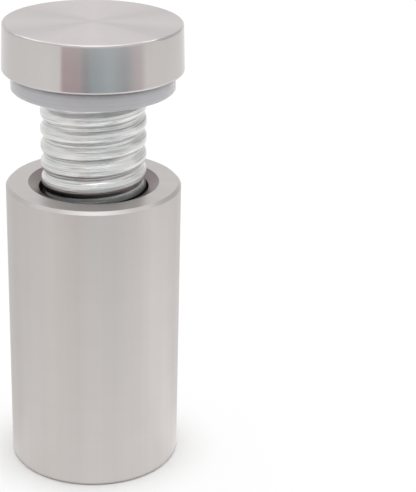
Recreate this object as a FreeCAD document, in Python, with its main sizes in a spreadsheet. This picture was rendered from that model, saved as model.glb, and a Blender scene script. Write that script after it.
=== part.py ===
"""Glass panel standoff: a turned barrel that is screwed to a wall, a threaded stud
that turns in it, a clear washer and a cap that clamp the panel against the barrel's rim.

Lengths are in millimetres. The origin is the centre of the barrel's foot and +Z runs
up the axis, away from the wall.
"""

import FreeCAD, Part
import os
import re
import Sketcher

SIZES = {
    # barrel
    "barrel_radius": 12.5,
    "barrel_length": 43.0,
    "rim_chamfer": 0.45,
    "foot_chamfer": 0.25,
    "mouth_radius": 9.35,
    "mouth_depth": 0.7,
    "bore_radius": 7.85,
    "bore_depth": 3.0,
    "thread_length": 12.5,
    "base_thickness": 5.0,
    "screw_radius": 2.75,
    "sink_radius": 5.0,
    "sink_depth": 2.25,
    # thread, the same on the stud and in the barrel
    "thread_radius": 7.5,
    "thread_depth": 0.6,
    "pitch": 2.5,
    "groove_width": 1.6,
    "groove_floor": 0.4,
    "thread_clearance": 0.15,
    "crest_height": 2.28,
    # stud
    "stud_length": 26.0,
    "stud_chamfer": 0.8,
    "spigot_radius": 5.0,
    "spigot_length": 3.5,
    # washer
    "washer_radius": 11.5,
    "washer_thickness": 2.7,
    "washer_clearance": 0.25,
    "washer_edge": 0.2,
    # cap
    "cap_radius": 12.5,
    "cap_flare": 0.23,
    "cap_thickness": 6.7,
    "cap_round": 0.35,
    "socket_clearance": 0.05,
    # room between the rim and the washer with the stud wound out as drawn
    "panel_gap": 13.9,
}

# heights above the foot, each an expression of the sizes
BORE_FLOOR = "base_thickness"
THREAD_TOP = "(barrel_length - bore_depth)"
THREAD_FOOT = "(barrel_length - bore_depth - thread_length)"
WASHER_SEAT = "(barrel_length + panel_gap)"
CAP_SEAT = "(barrel_length + panel_gap + washer_thickness)"
STUD_END = "(barrel_length + panel_gap + washer_thickness - stud_length)"

# the thread's own measures
ROOT_RADIUS = "(thread_radius - thread_depth)"
INNER_CREST = "(thread_radius - thread_depth + thread_clearance)"
FLANK = "((groove_width - groove_floor) / 2 / thread_depth)"
GROOVE_HALF = "(groove_width / 2)"
FLOOR_HALF = "(groove_floor / 2)"
OVERCUT = 0.1


def bound(expression):
    """The expression with each size read from the sheet."""
    return re.sub(r"[a-z]+_[a-z]+|pitch", lambda word: "Sizes." + word.group(), expression)


def make_sheet(doc):
    sheet = doc.addObject("Spreadsheet::Sheet", "Sizes")
    for row, (name, value) in enumerate(SIZES.items(), start=1):
        sheet.set(f"A{row}", name)
        sheet.set(f"B{row}", str(value))
        sheet.setAlias(f"B{row}", name)
    doc.recompute()
    return sheet


def origin_feature(body, role):
    for feature in body.Origin.OriginFeatures:
        if feature.Role == role:
            return feature
    raise ValueError(role)


def section(body, name, corners):
    """A closed outline in the XZ plane. Each corner is a name with its radius and height."""
    sketch = body.newObject("Sketcher::SketchObject", name)
    sketch.AttachmentSupport = [(origin_feature(body, "XZ_Plane"), "")]
    sketch.MapMode = "FlatFace"
    places = []
    for _, radius, height in corners:
        x = float(sketch.evalExpression(bound(radius)))
        y = float(sketch.evalExpression(bound(height)))
        places.append(FreeCAD.Vector(x, y, 0))
    for index, place in enumerate(places):
        following = places[(index + 1) % len(places)]
        sketch.addGeometry(Part.LineSegment(place, following), False)
    for index, (corner, radius, height) in enumerate(corners):
        before = (index - 1) % len(corners)
        sketch.addConstraint(Sketcher.Constraint("Coincident", before, 2, index, 1))
        bind_corner(sketch, "DistanceX", index, corner + "_radius", radius, places[index].x)
        bind_corner(sketch, "DistanceY", index, corner + "_height", height, places[index].y)
    return sketch


def bind_corner(sketch, kind, index, name, expression, value):
    """Holds one corner at a distance from the origin, or on the axis where that is nought."""
    if expression == "0":
        axis = -2 if kind == "DistanceX" else -1
        sketch.addConstraint(Sketcher.Constraint("PointOnObject", index, 1, axis))
        return
    number = sketch.addConstraint(Sketcher.Constraint(kind, -1, 1, index, 1, value))
    sketch.renameConstraint(number, name)
    sketch.setExpression("Constraints." + name, bound(expression))


def revolve(body, name, corners):
    sketch = section(body, name + "_section", corners)
    turned = body.newObject("PartDesign::Revolution", name)
    turned.Profile = sketch
    turned.ReferenceAxis = (sketch, ["V_Axis"])
    turned.Angle = 360
    body.Document.recompute()
    return turned


def cut_thread(body, name, corners, length):
    """Cuts a right-hand helical groove upwards from its outline over a length."""
    solid = body.Shape.Volume
    sketch = section(body, name + "_section", corners)
    body.Document.recompute()
    groove = body.newObject("PartDesign::SubtractiveHelix", name)
    groove.Profile = sketch
    groove.ReferenceAxis = (sketch, ["V_Axis"])
    groove.Mode = 0
    groove.HasBeenEdited = True
    groove.LeftHanded = False
    groove.setExpression("Pitch", bound("pitch"))
    groove.setExpression("Height", bound(length))
    body.Document.recompute()
    if not solid / 2 < groove.Shape.Volume < solid:
        raise RuntimeError(name + " didn't cut a groove")
    return groove


def round_edges(body, name, solid, edges, radius):
    fillet = body.newObject("PartDesign::Fillet", name)
    fillet.Base = (solid, edges)
    fillet.setExpression("Radius", bound(radius))
    body.Document.recompute()
    return fillet


def outer_circles(feature):
    """Names of the two round edges of a disc, where its side meets its faces."""
    box = feature.Shape.BoundBox
    names = []
    for number, edge in enumerate(feature.Shape.Edges, start=1):
        rim = edge.BoundBox
        level = rim.ZLength < 1e-6 and min(abs(rim.ZMin - box.ZMin), abs(rim.ZMin - box.ZMax)) < 1e-6
        if level and rim.XLength > 0.9 * box.XLength:
            names.append(f"Edge{number}")
    return names


def add_body(doc, name, height="0"):
    body = doc.addObject("PartDesign::Body", name)
    body.Label = name
    if height != "0":
        body.setExpression("Placement.Base.z", bound(height))
    return body


def make_barrel(doc):
    """One turned piece: a foot with a countersunk screw hole, a threaded bore and a wide mouth."""
    body = add_body(doc, "barrel")
    lead_in = f"(bore_radius - {INNER_CREST})"
    revolve(body, "turned_barrel", [
        ("hole_foot", "screw_radius", "0"),
        ("foot_edge", "barrel_radius - foot_chamfer", "0"),
        ("side_foot", "barrel_radius", "foot_chamfer"),
        ("side_top", "barrel_radius", "barrel_length - rim_chamfer"),
        ("rim_edge", "barrel_radius - rim_chamfer", "barrel_length"),
        ("mouth_edge", "mouth_radius", "barrel_length"),
        ("mouth_foot", "bore_radius", "barrel_length - mouth_depth"),
        ("lead_top", "bore_radius", THREAD_TOP),
        ("crest_top", INNER_CREST, f"{THREAD_TOP} - {lead_in}"),
        ("crest_foot", INNER_CREST, f"{THREAD_FOOT} + {lead_in}"),
        ("lead_foot", "bore_radius", THREAD_FOOT),
        ("floor_edge", "bore_radius", BORE_FLOOR),
        ("sink_edge", "sink_radius", BORE_FLOOR),
        ("sink_foot", "screw_radius", "base_thickness - sink_depth"),
    ])
    slack = f"thread_clearance * sqrt(1 + {FLANK} ^ 2)"
    middle = f"({THREAD_FOOT} - mod({THREAD_FOOT} - crest_height; pitch) - pitch)"
    far_half = f"((pitch - groove_width) / 2 + {slack} - thread_clearance * {FLANK})"
    near_half = f"({far_half} + thread_depth * {FLANK})"
    far_radius = "thread_radius + thread_clearance"
    cut_thread(body, "internal_thread", [
        ("start_foot", f"{INNER_CREST} - {OVERCUT}", f"{middle} - {near_half}"),
        ("near_foot", INNER_CREST, f"{middle} - {near_half}"),
        ("far_foot", far_radius, f"{middle} - {far_half}"),
        ("far_top", far_radius, f"{middle} + {far_half}"),
        ("near_top", INNER_CREST, f"{middle} + {near_half}"),
        ("start_top", f"{INNER_CREST} - {OVERCUT}", f"{middle} + {near_half}"),
    ], "thread_length + 3 * pitch")
    return body


def make_stud(doc):
    """A plated steel stud, threaded from end to shoulder, with a spigot for the cap."""
    body = add_body(doc, "threaded_stud", STUD_END)
    revolve(body, "stud_blank", [
        ("end_centre", "0", "0"),
        ("end_edge", "thread_radius - stud_chamfer", "0"),
        ("chamfer_top", "thread_radius", "stud_chamfer"),
        ("shoulder_edge", "thread_radius", "stud_length"),
        ("spigot_foot", "spigot_radius", "stud_length"),
        ("spigot_edge", "spigot_radius", "stud_length + spigot_length"),
        ("spigot_centre", "0", "stud_length + spigot_length"),
    ])
    middle = f"(0 - mod({STUD_END} - crest_height - pitch / 2; pitch) - pitch)"
    outer_radius = f"thread_radius + {OVERCUT}"
    outer_half = f"({GROOVE_HALF} + {OVERCUT} * {FLANK})"
    cut_thread(body, "rolled_thread", [
        ("floor_foot", ROOT_RADIUS, f"{middle} - {FLOOR_HALF}"),
        ("outer_foot", outer_radius, f"{middle} - {outer_half}"),
        ("outer_top", outer_radius, f"{middle} + {outer_half}"),
        ("floor_top", ROOT_RADIUS, f"{middle} + {FLOOR_HALF}"),
    ], "stud_length + 3 * pitch")
    return body


def make_washer(doc):
    """A clear plastic ring that keeps the cap off the panel."""
    body = add_body(doc, "washer", WASHER_SEAT)
    hole = "thread_radius + washer_clearance"
    revolve(body, "moulded_ring", [
        ("bore_foot", hole, "washer_edge"),
        ("hole_foot", f"{hole} + washer_edge", "0"),
        ("rim_foot", "washer_radius - washer_edge", "0"),
        ("side_foot", "washer_radius", "washer_edge"),
        ("side_top", "washer_radius", "washer_thickness - washer_edge"),
        ("rim_top", "washer_radius - washer_edge", "washer_thickness"),
        ("hole_top", f"{hole} + washer_edge", "washer_thickness"),
        ("bore_top", hole, "washer_thickness - washer_edge"),
    ])
    return body


def make_cap(doc):
    """A solid disc, a little wider at its foot, with a blind socket for the stud's spigot."""
    body = add_body(doc, "cap", CAP_SEAT)
    socket = "spigot_radius + socket_clearance"
    socket_floor = "spigot_length + socket_clearance"
    disc = revolve(body, "turned_disc", [
        ("socket_foot", socket, "0"),
        ("foot_edge", "cap_radius + cap_flare", "0"),
        ("top_edge", "cap_radius", "cap_thickness"),
        ("top_centre", "0", "cap_thickness"),
        ("socket_centre", "0", socket_floor),
        ("socket_edge", socket, socket_floor),
    ])
    round_edges(body, "softened_edges", disc, outer_circles(disc), "cap_round")
    return body


def check(doc, bodies):
    """Stops if any object failed or any piece isn't one valid solid."""
    for item in doc.Objects:
        if "Invalid" in item.State or "Error" in item.State:
            raise RuntimeError(item.Label + " failed to build")
    for body in bodies:
        shape = body.Shape
        if shape.isNull() or not shape.isValid() or len(shape.Solids) != 1:
            raise RuntimeError(body.Label + " isn't one valid solid")


def main():
    doc = FreeCAD.newDocument("standoff")
    make_sheet(doc)
    bodies = [make_barrel(doc), make_stud(doc), make_washer(doc), make_cap(doc)]
    doc.recompute()
    check(doc, bodies)
    os.makedirs("parts", exist_ok=True)
    for body in bodies:
        body.Shape.exportStep(f"parts/{body.Label}.step")
        print(body.Label, round(body.Shape.Volume, 2), body.Shape.BoundBox)


main()
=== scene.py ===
"""Glass panel standoff, wound open, on a pale floor. Lengths are in metres."""

import bmesh
import bpy
import math
from mathutils import Matrix, Vector, noise


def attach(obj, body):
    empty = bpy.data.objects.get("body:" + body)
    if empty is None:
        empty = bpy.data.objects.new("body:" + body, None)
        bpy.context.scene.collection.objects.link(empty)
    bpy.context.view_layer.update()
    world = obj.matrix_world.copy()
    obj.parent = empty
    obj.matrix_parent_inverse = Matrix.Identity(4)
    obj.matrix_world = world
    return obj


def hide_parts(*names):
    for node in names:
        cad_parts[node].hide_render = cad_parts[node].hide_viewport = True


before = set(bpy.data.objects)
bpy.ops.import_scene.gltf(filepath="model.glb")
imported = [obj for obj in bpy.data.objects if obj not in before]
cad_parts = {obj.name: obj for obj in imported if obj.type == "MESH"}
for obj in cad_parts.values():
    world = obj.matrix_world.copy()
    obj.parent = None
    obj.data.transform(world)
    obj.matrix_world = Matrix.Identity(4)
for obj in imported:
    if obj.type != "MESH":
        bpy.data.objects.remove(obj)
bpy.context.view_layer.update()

MM = 0.001
TURN = 2 * math.pi

# the stud's thread, as in the part's source but for its depth, less here under rounded crests
PITCH = 2.5 * MM
CREST_RADIUS = 7.5 * MM
THREAD_DEPTH = 0.54 * MM
CREST_HEIGHT = 2.28 * MM
STUD_FOOT, STUD_SHOULDER = 33.6 * MM, 59.6 * MM
STUD_CHAMFER = 0.8 * MM
SPIGOT_RADIUS, SPIGOT_TOP = 5.0 * MM, 63.1 * MM

# the stud's mesh: points to a turn and rows to a pitch, a power that makes the crests broader
# than the roots, and how uneven the surface is
STUD_COLUMNS, STUD_ROWS = 180, 32
CREST_BREADTH = 1.5
UNEVENNESS = 0.02 * MM
UNEVEN_AROUND, UNEVEN_ALONG = 2.2, 1.6

# how near a point has to be to count as on a cut and as at the foot, and the height of a unit
# normal from which a face is shaded flat
CUT_MARGIN, FOOT_MARGIN = 1e-7, 1e-6
FLAT_FROM = 0.95

# noise lies almost wholly between these two
NOISE_LOW, NOISE_HIGH = 0.3, 0.7

# samples of ambient occlusion, and the share of the view that another piece takes where its
# painted shade begins to darken a surface and where that is darkest
SHADE_SAMPLES = 8
SUNK_START, SUNK_END = 0.1, 0.3

# grain, in features to the metre or, where it goes round, to the unit circle
FINE_RINGS, BROAD_RINGS, STEEL_CLOUD, STEEL_AROUND = 9000, 1400, 160, 3.2
ZINC_AROUND, ZINC_ALONG, ZINC_CLOUD = 1.3, 320, 420
PLASTIC_HAZE, PLASTIC_RINGS = 500, 1800

# the barrel's mouth and bore, duller than its outside and painted darker as shade, lie within
# this radius
MOUTH_RADIUS, MOUTH_BLEND = 9.34 * MM, 0.02 * MM

# the floor as it lights and as it is seen, and where it goes over to plain white: each fade is
# the share that it reaches and the radii between which it grows
FLOOR_HALF_WIDTH = 3
LIT_FLOOR, SEEN_FLOOR = 0.8, 0.98
FLOOR_FADES = (0.75, 0.013, 0.019), (1.0, 0.12, 0.4)

# the world's strength as it lights and as it is seen
LIT_WORLD, SEEN_WORLD = 0.45, 1.0

LAMP_PLACE, LAMP_SIZE, LAMP_WATTS = (0.12, 0.14, 1.03), (1.9, 1.2), 12.4

# the camera that fits the photograph's outlines, with its angles in radians
CAMERA_PLACE = (0, -0.20365, 0.11933)
CAMERA_PITCH, CAMERA_YAW, CAMERA_ROLL = 0.4009, 0.0815, 0.0269
LENS_MM, SENSOR_MM = 110.83, 36
CLIP_START, CLIP_END = 0.01, 20

# The round cards stand for the room all round the object, and only reflections see them. Each
# has its rings, as a radius and a height, and its tones, as an azimuth from the front (-Y)
# towards the right, in degrees, with a grey level or a colour.
CARD_COLUMNS = 96
CARDS = {
    "near_card": (
        [(0.0127, 0.0003), (0.0145, 0.001), (0.135, 0.001)],
        [(-180, 0.92), (-130, 0.88), (-100, 0.94), (-75, 1.07), (-40, (1.05, 1.04, 1.04)),
         (0, 1.07), (25, 1.08), (60, 1.12), (80, 1.24), (97, 1.22), (115, 1.06), (150, 0.98),
         (180, 0.92)],
    ),
    "table_card": (
        [(0.135, 0.001), (0.34, 0.001)],
        [(-180, 0.90), (-110, 0.88), (-60, 0.93), (-42, (0.93, 0.92, 0.91)),
         (-36, (0.55, 0.42, 0.44)), (-19, (0.53, 0.42, 0.44)), (-9, (0.33, 0.35, 0.37)),
         (2, (0.37, 0.46, 0.50)), (20, (0.47, 0.56, 0.59)), (38, (0.42, 0.46, 0.48)),
         (56, (0.66, 0.60, 0.62)), (70, (0.90, 0.88, 0.88)), (110, 0.90), (180, 0.90)],
    ),
    "room_card": (
        [(0.34, 0.001), (0.36, 0.25), (0.36, 0.42)],
        [(-180, 1.0), (-150, 0.95), (-125, 0.8), (-90, 0.86), (-50, 0.84),
         (50, (0.84, 0.85, 0.86)), (90, 0.86), (106, (0.64, 0.63, 0.63)), (140, 0.72),
         (158, 0.98), (180, 1.0)],
    ),
    "cove_card": (
        [(0.36, 0.42), (0.33, 0.56)],
        [(-180, 1.2), (-150, 2.0), (-130, 2.7), (-108, 2.4), (-90, 0.86), (-50, 0.84),
         (50, (0.84, 0.85, 0.86)), (90, 0.86), (108, 2.4), (130, 2.7), (150, 2.0), (180, 1.2)],
    ),
    "roof_card": (
        [(0.33, 0.56), (0.001, 0.6)],
        [(-180, 1.6), (-110, 1.5), (-90, 1.0), (-70, 2.0), (-40, 2.3), (0, 2.4), (40, 2.3),
         (70, 2.0), (90, 1.0), (110, 1.5), (180, 1.6)],
    ),
}


# helpers

class Shader:
    """The node tree of a material or a world, with a call for each node, linked as it is made."""

    def __init__(self, owner, output="OutputMaterial"):
        owner.use_nodes = True
        self.owner = owner
        self.tree = owner.node_tree
        self.tree.nodes.clear()
        self.output = self.add(output)

    def add(self, kind, inputs=(), **settings):
        made = self.tree.nodes.new("ShaderNode" + kind)
        for key, value in settings.items():
            setattr(made, key, value)
        for key, value in dict(inputs).items():
            if isinstance(value, bpy.types.NodeSocket):
                self.tree.links.new(value, made.inputs[key])
            else:
                made.inputs[key].default_value = value
        return made

    def finish(self, surface):
        self.tree.links.new(surface.outputs[0], self.output.inputs["Surface"])
        return self.owner

    def math(self, operation, first, second=0.0):
        return self.add("Math", {0: first, 1: second}, operation=operation).outputs[0]

    def product(self, first, *others):
        for other in others:
            first = self.math("MULTIPLY", first, other)
        return first

    def combine(self, x, y, z=0.0):
        return self.add("CombineXYZ", {0: x, 1: y, 2: z}).outputs[0]

    def split(self, vector):
        return self.add("SeparateXYZ", {0: vector}).outputs

    def spread(self, value, low, high, start=0.0, end=1.0):
        """The value from start to end, carried to low to high."""
        return self.add("MapRange", {0: value, 1: start, 2: end, 3: low, 4: high}).outputs[0]

    def vary(self, grain, low, high):
        """A noise, carried to low to high."""
        return self.spread(grain, low, high, NOISE_LOW, NOISE_HIGH)

    def noise(self, vector, scale, detail=2.0, roughness=0.5, fourth=None):
        inputs = {"Vector": vector, "Scale": scale, "Detail": detail, "Roughness": roughness}
        if fourth is None:
            return self.add("TexNoise", inputs).outputs["Fac"]
        return self.add("TexNoise", inputs | {"W": fourth}, noise_dimensions="4D").outputs["Fac"]

    def rings(self, radius, z, scale, detail):
        """Noise in rings about the axis, on the side as on the faces."""
        vector = self.combine(self.product(radius, scale), 0.0, self.product(z, scale))
        return self.noise(vector, 1.0, detail)

    def place(self):
        """The object's own coordinates."""
        return self.add("TexCoord").outputs["Object"]

    def round_axis(self, place):
        """The direction away from the axis, the distance from it, and the height."""
        x, y, z = self.split(place)
        flat = self.combine(x, y)
        outward = self.add("VectorMath", {0: flat}, operation="NORMALIZE").outputs[0]
        radius = self.add("VectorMath", {0: flat}, operation="LENGTH").outputs["Value"]
        return outward, radius, z

    def levelness(self, start, end):
        """Nought where the surface faces sideways and one where it faces up or down."""
        normal = self.add("NewGeometry").outputs["Normal"]
        return self.spread(self.math("ABSOLUTE", self.split(normal)[2]), 0.0, 1.0, start, end)

    def seen(self):
        """One for rays from the camera and for those that metal or plastic sends on."""
        path = self.add("LightPath").outputs
        direct = self.math("MAXIMUM", path["Is Camera Ray"], path["Is Glossy Ray"])
        return self.math("MAXIMUM", direct, path["Is Transmission Ray"])

    def grey(self, level):
        return self.add("CombineColor", {0: level, 1: level, 2: level}).outputs[0]

    def tint(self, colour, factor):
        """The colour, made lighter or darker by a factor near one."""
        inputs = {0: 1.0, 6: (*colour, 1.0), 7: self.grey(factor)}
        return self.add("Mix", inputs, data_type="RGBA", blend_type="MULTIPLY").outputs[2]

    def mix(self, factor, first, second):
        """One colour where the factor is nought and the other where it is one."""
        return self.add("Mix", {0: factor, 6: first, 7: second}, data_type="RGBA").outputs[2]

    def openness(self, own, reach, **inputs):
        """One in the open and less in a corner, of the piece's own surfaces or of all."""
        inputs["Distance"] = reach
        settings = {"samples": SHADE_SAMPLES, "only_local": own}
        return self.add("AmbientOcclusion", inputs, **settings).outputs["AO"]

    def crevice_shade(self, dark, start, end, reach):
        """Painted shade: one in the open, down to a darker level where the piece's own surfaces
        close it in.
        """
        return self.spread(self.openness(True, reach), dark, 1.0, start, end)

    def seam(self, dark, start, end, reach):
        """Painted shadow: one in the open, down to a darker level in the corner where another
        piece sits.
        """
        return self.spread(self.openness(False, reach), dark, 1.0, start, end)

    def sunk_shade(self, dark, outward, reach):
        """Painted shade: one in the open, down to a darker level where another piece stands close
        round it.
        """
        alone = self.openness(True, reach, Normal=outward)
        together = self.openness(False, reach, Normal=outward)
        added = self.math("SUBTRACT", alone, together)
        return self.spread(added, 1.0, dark, SUNK_START, SUNK_END)

    def bump(self, height, distance, strength=1.0):
        inputs = {"Height": height, "Distance": distance, "Strength": strength}
        return self.add("Bump", inputs).outputs[0]


def new_material(name):
    return Shader(bpy.data.materials.new(name))


def srgb(red, green, blue):
    """A colour written as 0 to 255 in the usual display space."""
    def linear(level):
        level /= 255
        return level / 12.92 if level <= 0.04045 else ((level + 0.055) / 1.055) ** 2.4
    return linear(red), linear(green), linear(blue)


def add_object(name, data):
    made = bpy.data.objects.new(name, data)
    bpy.context.scene.collection.objects.link(made)
    return made


# materials

def turned_steel(name, side, face, anisotropy, streaks, dull_and_shaded=None):
    """Satin stainless, turned and brushed round its axis: fine rings, and soft streaks along it.
    The side and the face each have a colour and a roughness. The dull colour is that of the mouth
    and bore: a less metallic finish, painted darker as shade, and darker again as painted shade
    where their own surfaces close in."""
    nodes = new_material(name)
    place = nodes.place()
    outward, radius, z = nodes.round_axis(place)
    fine = nodes.rings(radius, z, FINE_RINGS, 3.0)
    broad = nodes.rings(radius, z, BROAD_RINGS, 2.0)
    along = nodes.noise(outward, STEEL_AROUND, 3.0, 0.6)
    cloud = nodes.noise(place, STEEL_CLOUD)
    shade = nodes.product(
        nodes.vary(along, 1 - streaks, 1 + streaks),
        nodes.vary(fine, 0.99, 1.01),
        nodes.vary(cloud, 0.99, 1.01),
    )
    (side_colour, side_roughness), (face_colour, face_roughness) = side, face
    on_face = nodes.levelness(0.3, 0.95)
    shown = nodes.mix(on_face, nodes.tint(side_colour, shade), nodes.tint(face_colour, shade))
    metallic = 1.0
    if dull_and_shaded:
        start, end = MOUTH_RADIUS - MOUTH_BLEND, MOUTH_RADIUS + MOUTH_BLEND
        inside = nodes.spread(radius, 1.0, 0.0, start, end)
        # painted shade: the mouth and bore take the darker colour, darkened more in their own
        # corners
        shown = nodes.mix(inside, shown, nodes.tint(dull_and_shaded, nodes.crevice_shade(0.6, 0.5, 0.9, 2.5 * MM)))
        metallic = nodes.spread(inside, 1.0, 0.7)
    roughness = nodes.spread(on_face, side_roughness, face_roughness)
    return nodes.finish(nodes.add("BsdfPrincipled", {
        "Base Color": shown,
        "Metallic": metallic,
        "Roughness": nodes.product(roughness, nodes.vary(broad, 0.97, 1.03)),
        "Anisotropic": anisotropy,
        "Anisotropic Rotation": 0.25,
        "Tangent": nodes.add("Tangent", direction_type="RADIAL", axis="Z").outputs[0],
        "Normal": nodes.bump(fine, 0.003 * MM, 0.4),
    }))


def zinc_plate():
    """Bright zinc on a rolled thread, with fine drawn-out streaks that follow the helix."""
    nodes = new_material("zinc_plate")
    place = nodes.place()
    outward, _, z = nodes.round_axis(place)
    east, north, _ = nodes.split(outward)
    angle = nodes.math("ARCTAN2", north, east)
    phase = nodes.math("SUBTRACT", nodes.product(z, TURN / PITCH), angle)
    cosine, sine = nodes.math("COSINE", phase), nodes.math("SINE", phase)
    around = nodes.product(east, ZINC_AROUND)
    along = nodes.math("ADD", nodes.product(north, ZINC_AROUND), nodes.product(z, ZINC_ALONG))

    def drawn_out(scale, detail, roughness):
        """Noise that is fine across the thread and long along it."""
        vector = nodes.combine(nodes.product(cosine, scale), nodes.product(sine, scale), around)
        return nodes.noise(vector, 1.0, detail, roughness, along)

    streaks = drawn_out(1.5, 2.0, 0.6)
    lines = drawn_out(3.0, 1.0, 0.5)
    cloud = nodes.noise(place, ZINC_CLOUD, 3.0)
    shade = nodes.product(
        nodes.spread(streaks, 0.88, 1.03, 0.32, 0.5),
        nodes.spread(lines, 0.7, 1.03, 0.34, 0.46),
        nodes.vary(cloud, 0.97, 1.02),
        # painted shade: darker in the thread's own roots and where the barrel's mouth closes
        # round it
        nodes.crevice_shade(0.6, 0.55, 0.85, 1.2 * MM),
        nodes.sunk_shade(0.14, outward, 1.7 * MM),
    )
    return nodes.finish(nodes.add("BsdfPrincipled", {
        "Base Color": nodes.tint(srgb(223, 223, 222), shade),
        "Metallic": 0.85,
        "Roughness": nodes.vary(cloud, 0.16, 0.24),
        "Normal": nodes.bump(streaks, 0.07 * MM),
    }))


def clear_plastic():
    """Slightly blue-grey clear plastic with a faint moulded haze. Its side is painted dark in the
    seam under the cap, as the cap's shadow."""
    nodes = new_material("clear_plastic")
    place = nodes.place()
    haze = nodes.noise(place, PLASTIC_HAZE, 3.0)
    height = nodes.product(nodes.split(place)[2], PLASTIC_RINGS)
    rings = nodes.noise(nodes.combine(0.0, 0.0, height), 1.0, 1.0)
    # painted shadow: the side darkens in the seam under the cap, while the faces stay clear
    seam = nodes.math("MAXIMUM", nodes.seam(0.02, 0.7, 0.78, 2.5 * MM), nodes.levelness(0.3, 0.7))
    shade = nodes.product(nodes.vary(haze, 0.97, 1.0), nodes.vary(rings, 0.88, 1.0), seam)
    return nodes.finish(nodes.add("BsdfPrincipled", {
        "Base Color": nodes.tint(srgb(252, 251, 255), shade),
        "Roughness": nodes.vary(haze, 0.1, 0.16),
        "IOR": 1.49,
        "Transmission Weight": 0.31,
        "Normal": nodes.bump(haze, 0.01 * MM, 0.4),
    }))


# the stud, with the rolled thread's rounded crests

def thread_radius(phase, height, angle):
    """Radius of the rolled surface. The phase is 0 at a root and 0.5 on a crest."""
    across = abs(2 * phase - 1)
    dip = 0.5 - 0.5 * math.cos(math.pi * across ** CREST_BREADTH)
    east, north = math.cos(angle), math.sin(angle)
    uneven = noise.noise(Vector((east * UNEVEN_AROUND, north * UNEVEN_AROUND,
                                 height / PITCH * UNEVEN_ALONG)))
    return CREST_RADIUS - THREAD_DEPTH * dip + UNEVENNESS * uneven


def thread_grid(mesh):
    """Rows of points that climb by a pitch a turn, from below the foot to above the shoulder.
    Each row keeps to one phase of the thread."""
    turns = math.ceil((STUD_SHOULDER - STUD_FOOT) / PITCH) + 2
    first = math.floor((STUD_FOOT - CREST_HEIGHT) / PITCH) - 1
    start = CREST_HEIGHT - PITCH / 2 + PITCH * first
    grid = []
    for row in range((turns + 1) * STUD_ROWS):
        turn, step = divmod(row, STUD_ROWS)
        phase = step / STUD_ROWS
        points = []
        for column in range(STUD_COLUMNS):
            angle = TURN * column / STUD_COLUMNS
            height = start + PITCH * (turn + phase + column / STUD_COLUMNS)
            tip = CREST_RADIUS - STUD_CHAMFER + max(0.0, height - STUD_FOOT)
            radius = min(thread_radius(phase, height, angle), tip)
            place = radius * math.cos(angle), radius * math.sin(angle), height
            points.append(mesh.verts.new(place))
        grid.append(points)
    return grid


def skin_grid(mesh, grid):
    """Faces between the rows. A row's last point meets the first one of the row a turn up."""
    for row in range(len(grid) - 1):
        low, high = grid[row], grid[row + 1]
        for left, right in zip(range(STUD_COLUMNS - 1), range(1, STUD_COLUMNS)):
            mesh.faces.new((low[left], low[right], high[right], high[left]))
        if row + STUD_ROWS + 1 < len(grid):
            next_low, next_high = grid[row + STUD_ROWS], grid[row + STUD_ROWS + 1]
            mesh.faces.new((low[-1], next_low[0], next_high[0], high[-1]))


def cut_ends(mesh):
    """Cuts the thread off level at the foot and at the shoulder, and closes the foot."""
    for height, up in ((STUD_FOOT, -1), (STUD_SHOULDER, 1)):
        everything = mesh.verts[:] + mesh.edges[:] + mesh.faces[:]
        bmesh.ops.bisect_plane(mesh, geom=everything, dist=CUT_MARGIN, plane_co=(0, 0, height),
                               plane_no=(0, 0, up), clear_outer=True)
    stray = [vert for vert in mesh.verts if not vert.link_faces]
    bmesh.ops.delete(mesh, geom=stray, context="VERTS")
    foot = [edge for edge in mesh.edges
            if edge.is_boundary and edge.verts[0].co.z < STUD_FOOT + FOOT_MARGIN]
    bmesh.ops.edgeloop_fill(mesh, edges=foot)


def spigot_ring(mesh, height):
    points = []
    for column in range(STUD_COLUMNS):
        angle = TURN * column / STUD_COLUMNS
        place = SPIGOT_RADIUS * math.cos(angle), SPIGOT_RADIUS * math.sin(angle), height
        points.append(mesh.verts.new(place))
    return points


def add_spigot(mesh):
    """The plain spigot that the cap sits on, and the shoulder round it."""
    shoulder = [edge for edge in mesh.edges if edge.is_boundary]
    lower, upper = spigot_ring(mesh, STUD_SHOULDER), spigot_ring(mesh, SPIGOT_TOP)
    pairs = [(column, (column + 1) % STUD_COLUMNS) for column in range(STUD_COLUMNS)]
    loop = [mesh.edges.new((lower[left], lower[right])) for left, right in pairs]
    for left, right in pairs:
        mesh.faces.new((lower[left], lower[right], upper[right], upper[left]))
    mesh.faces.new(upper)
    bmesh.ops.bridge_loops(mesh, edges=shoulder + loop)


def make_stud():
    mesh = bmesh.new()
    skin_grid(mesh, thread_grid(mesh))
    cut_ends(mesh)
    add_spigot(mesh)
    bmesh.ops.recalc_face_normals(mesh, faces=mesh.faces[:])
    for face in mesh.faces:
        face.smooth = abs(face.normal.z) < FLAT_FROM
    data = bpy.data.meshes.new("rolled_stud")
    mesh.to_mesh(data)
    mesh.free()
    return add_object("rolled_stud", data)


# stage

def add_stage(name, corners, faces, material):
    data = bpy.data.meshes.new(name)
    data.from_pydata(corners, [], faces)
    data.materials.append(material)
    thing = add_object(name, data)
    return thing


def make_floor():
    """A pale floor that takes the shadow by the foot. It goes most of the way to plain white
    beside the foot, and the whole way further off."""
    nodes = new_material("pale_floor")
    seen = nodes.seen()
    level = nodes.spread(seen, LIT_FLOOR, SEEN_FLOOR)
    near = nodes.add("BsdfDiffuse", {"Color": nodes.grey(level)}).outputs[0]
    far = nodes.add("Emission", {"Strength": 1.0}).outputs[0]
    _, radius, _ = nodes.round_axis(nodes.place())
    fades = [nodes.spread(radius, 0.0, share, start, end) for share, start, end in FLOOR_FADES]
    share = nodes.product(seen, nodes.math("MAXIMUM", *fades))
    material = nodes.finish(nodes.add("MixShader", {0: share, 1: near, 2: far}))
    half = FLOOR_HALF_WIDTH
    corners = [(-half, -half, 0), (half, -half, 0), (half, half, 0), (-half, half, 0)]
    add_stage("floor", corners, [(0, 1, 2, 3)], material)


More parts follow.
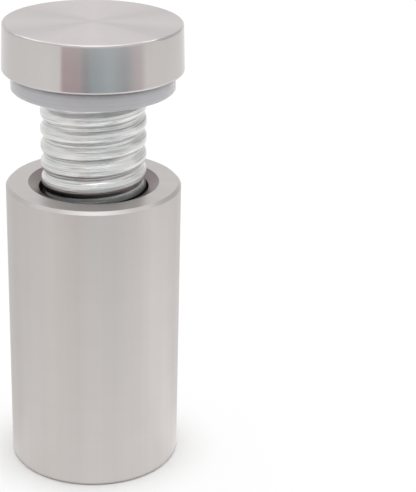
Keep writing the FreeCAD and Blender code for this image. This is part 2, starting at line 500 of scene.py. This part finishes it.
def card_light(name, tones):
    """A glow whose tone goes by the azimuth alone."""
    nodes = new_material(name)
    x, y, _ = nodes.split(nodes.place())
    azimuth = nodes.math("ARCTAN2", x, nodes.product(y, -1))
    ramp = nodes.add("ValToRGB", {0: nodes.math("ADD", nodes.product(azimuth, 1 / TURN), 0.5)})
    ramp.color_ramp.interpolation = "EASE"
    while len(ramp.color_ramp.elements) < len(tones):
        ramp.color_ramp.elements.new(0.5)
    for element, (degrees, tone) in zip(ramp.color_ramp.elements, tones):
        colour = tone if isinstance(tone, tuple) else (tone, tone, tone)
        element.position = degrees / 360 + 0.5
        element.color = (*colour, 1.0)
    return nodes.finish(nodes.add("Emission", {"Color": ramp.outputs[0], "Strength": 1.0}))


def make_card(name, rings, tones):
    """A round card about the axis that only reflections see."""
    corners, faces = [], []
    for radius, height in rings:
        for column in range(CARD_COLUMNS):
            angle = TURN * column / CARD_COLUMNS
            corners.append((radius * math.sin(angle), -radius * math.cos(angle), height))
    for ring in range(len(rings) - 1):
        low, high = ring * CARD_COLUMNS, (ring + 1) * CARD_COLUMNS
        for column in range(CARD_COLUMNS):
            following = (column + 1) % CARD_COLUMNS
            faces.append((low + column, low + following, high + following, high + column))
    card = add_stage(name, corners, faces, card_light(name, tones))
    card.visible_camera = False
    card.visible_diffuse = False
    card.visible_transmission = False
    card.visible_shadow = False


def make_lamp():
    """A large lamp overhead that shines straight down and isn't seen in reflections."""
    lamp = bpy.data.lights.new("top_light", "AREA")
    lamp.shape = "RECTANGLE"
    lamp.size, lamp.size_y = LAMP_SIZE
    lamp.energy = LAMP_WATTS
    thing = add_object("top_light", lamp)
    thing.location = LAMP_PLACE
    thing.visible_glossy = False


def make_world():
    """An even pale world, brighter where it is seen than where it lights."""
    world = bpy.data.worlds.new("studio")
    bpy.context.scene.world = world
    nodes = Shader(world, "OutputWorld")
    strength = nodes.spread(nodes.seen(), LIT_WORLD, SEEN_WORLD)
    nodes.finish(nodes.add("Background", {"Color": (1, 1, 1, 1), "Strength": strength}))


def make_camera():
    cosine, sine = math.cos(CAMERA_PITCH), math.sin(CAMERA_PITCH)
    forward = Vector((math.sin(CAMERA_YAW) * cosine, math.cos(CAMERA_YAW) * cosine, -sine))
    level = Vector((math.cos(CAMERA_YAW), -math.sin(CAMERA_YAW), 0))
    above = level.cross(forward)
    right = level * math.cos(CAMERA_ROLL) + above * math.sin(CAMERA_ROLL)
    up = above * math.cos(CAMERA_ROLL) - level * math.sin(CAMERA_ROLL)
    data = bpy.data.cameras.new("camera")
    data.lens = LENS_MM
    data.sensor_width = SENSOR_MM
    data.clip_start, data.clip_end = CLIP_START, CLIP_END
    camera = add_object("camera", data)
    turn = Matrix((right, up, -forward)).transposed()
    camera.matrix_world = Matrix.Translation(CAMERA_PLACE) @ turn.to_4x4()
    bpy.context.scene.camera = camera


# the pieces' looks

def dress(name, material):
    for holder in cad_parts[name].material_slots:
        holder.material = material


def dress_pieces():
    dress("barrel", turned_steel(
        "barrel_steel", side=(srgb(197, 192, 189), 0.42), face=(srgb(189, 185, 183), 0.35),
        anisotropy=0.5, streaks=0.03, dull_and_shaded=srgb(133, 122, 121)))
    dress("cap", turned_steel(
        "cap_steel", side=(srgb(203, 199, 197), 0.12), face=(srgb(195, 189, 189), 0.37),
        anisotropy=0.8, streaks=0.02))
    dress("washer", clear_plastic())


def main():
    make_camera()
    make_world()
    make_floor()
    for name, (rings, tones) in CARDS.items():
        make_card(name, rings, tones)
    make_lamp()
    dress_pieces()
    stud = make_stud()
    stud.data.materials.append(zinc_plate())
    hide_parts("threaded_stud")
    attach(stud, "cap_and_stud")
    bpy.context.scene.view_settings.view_transform = "Standard"


main()
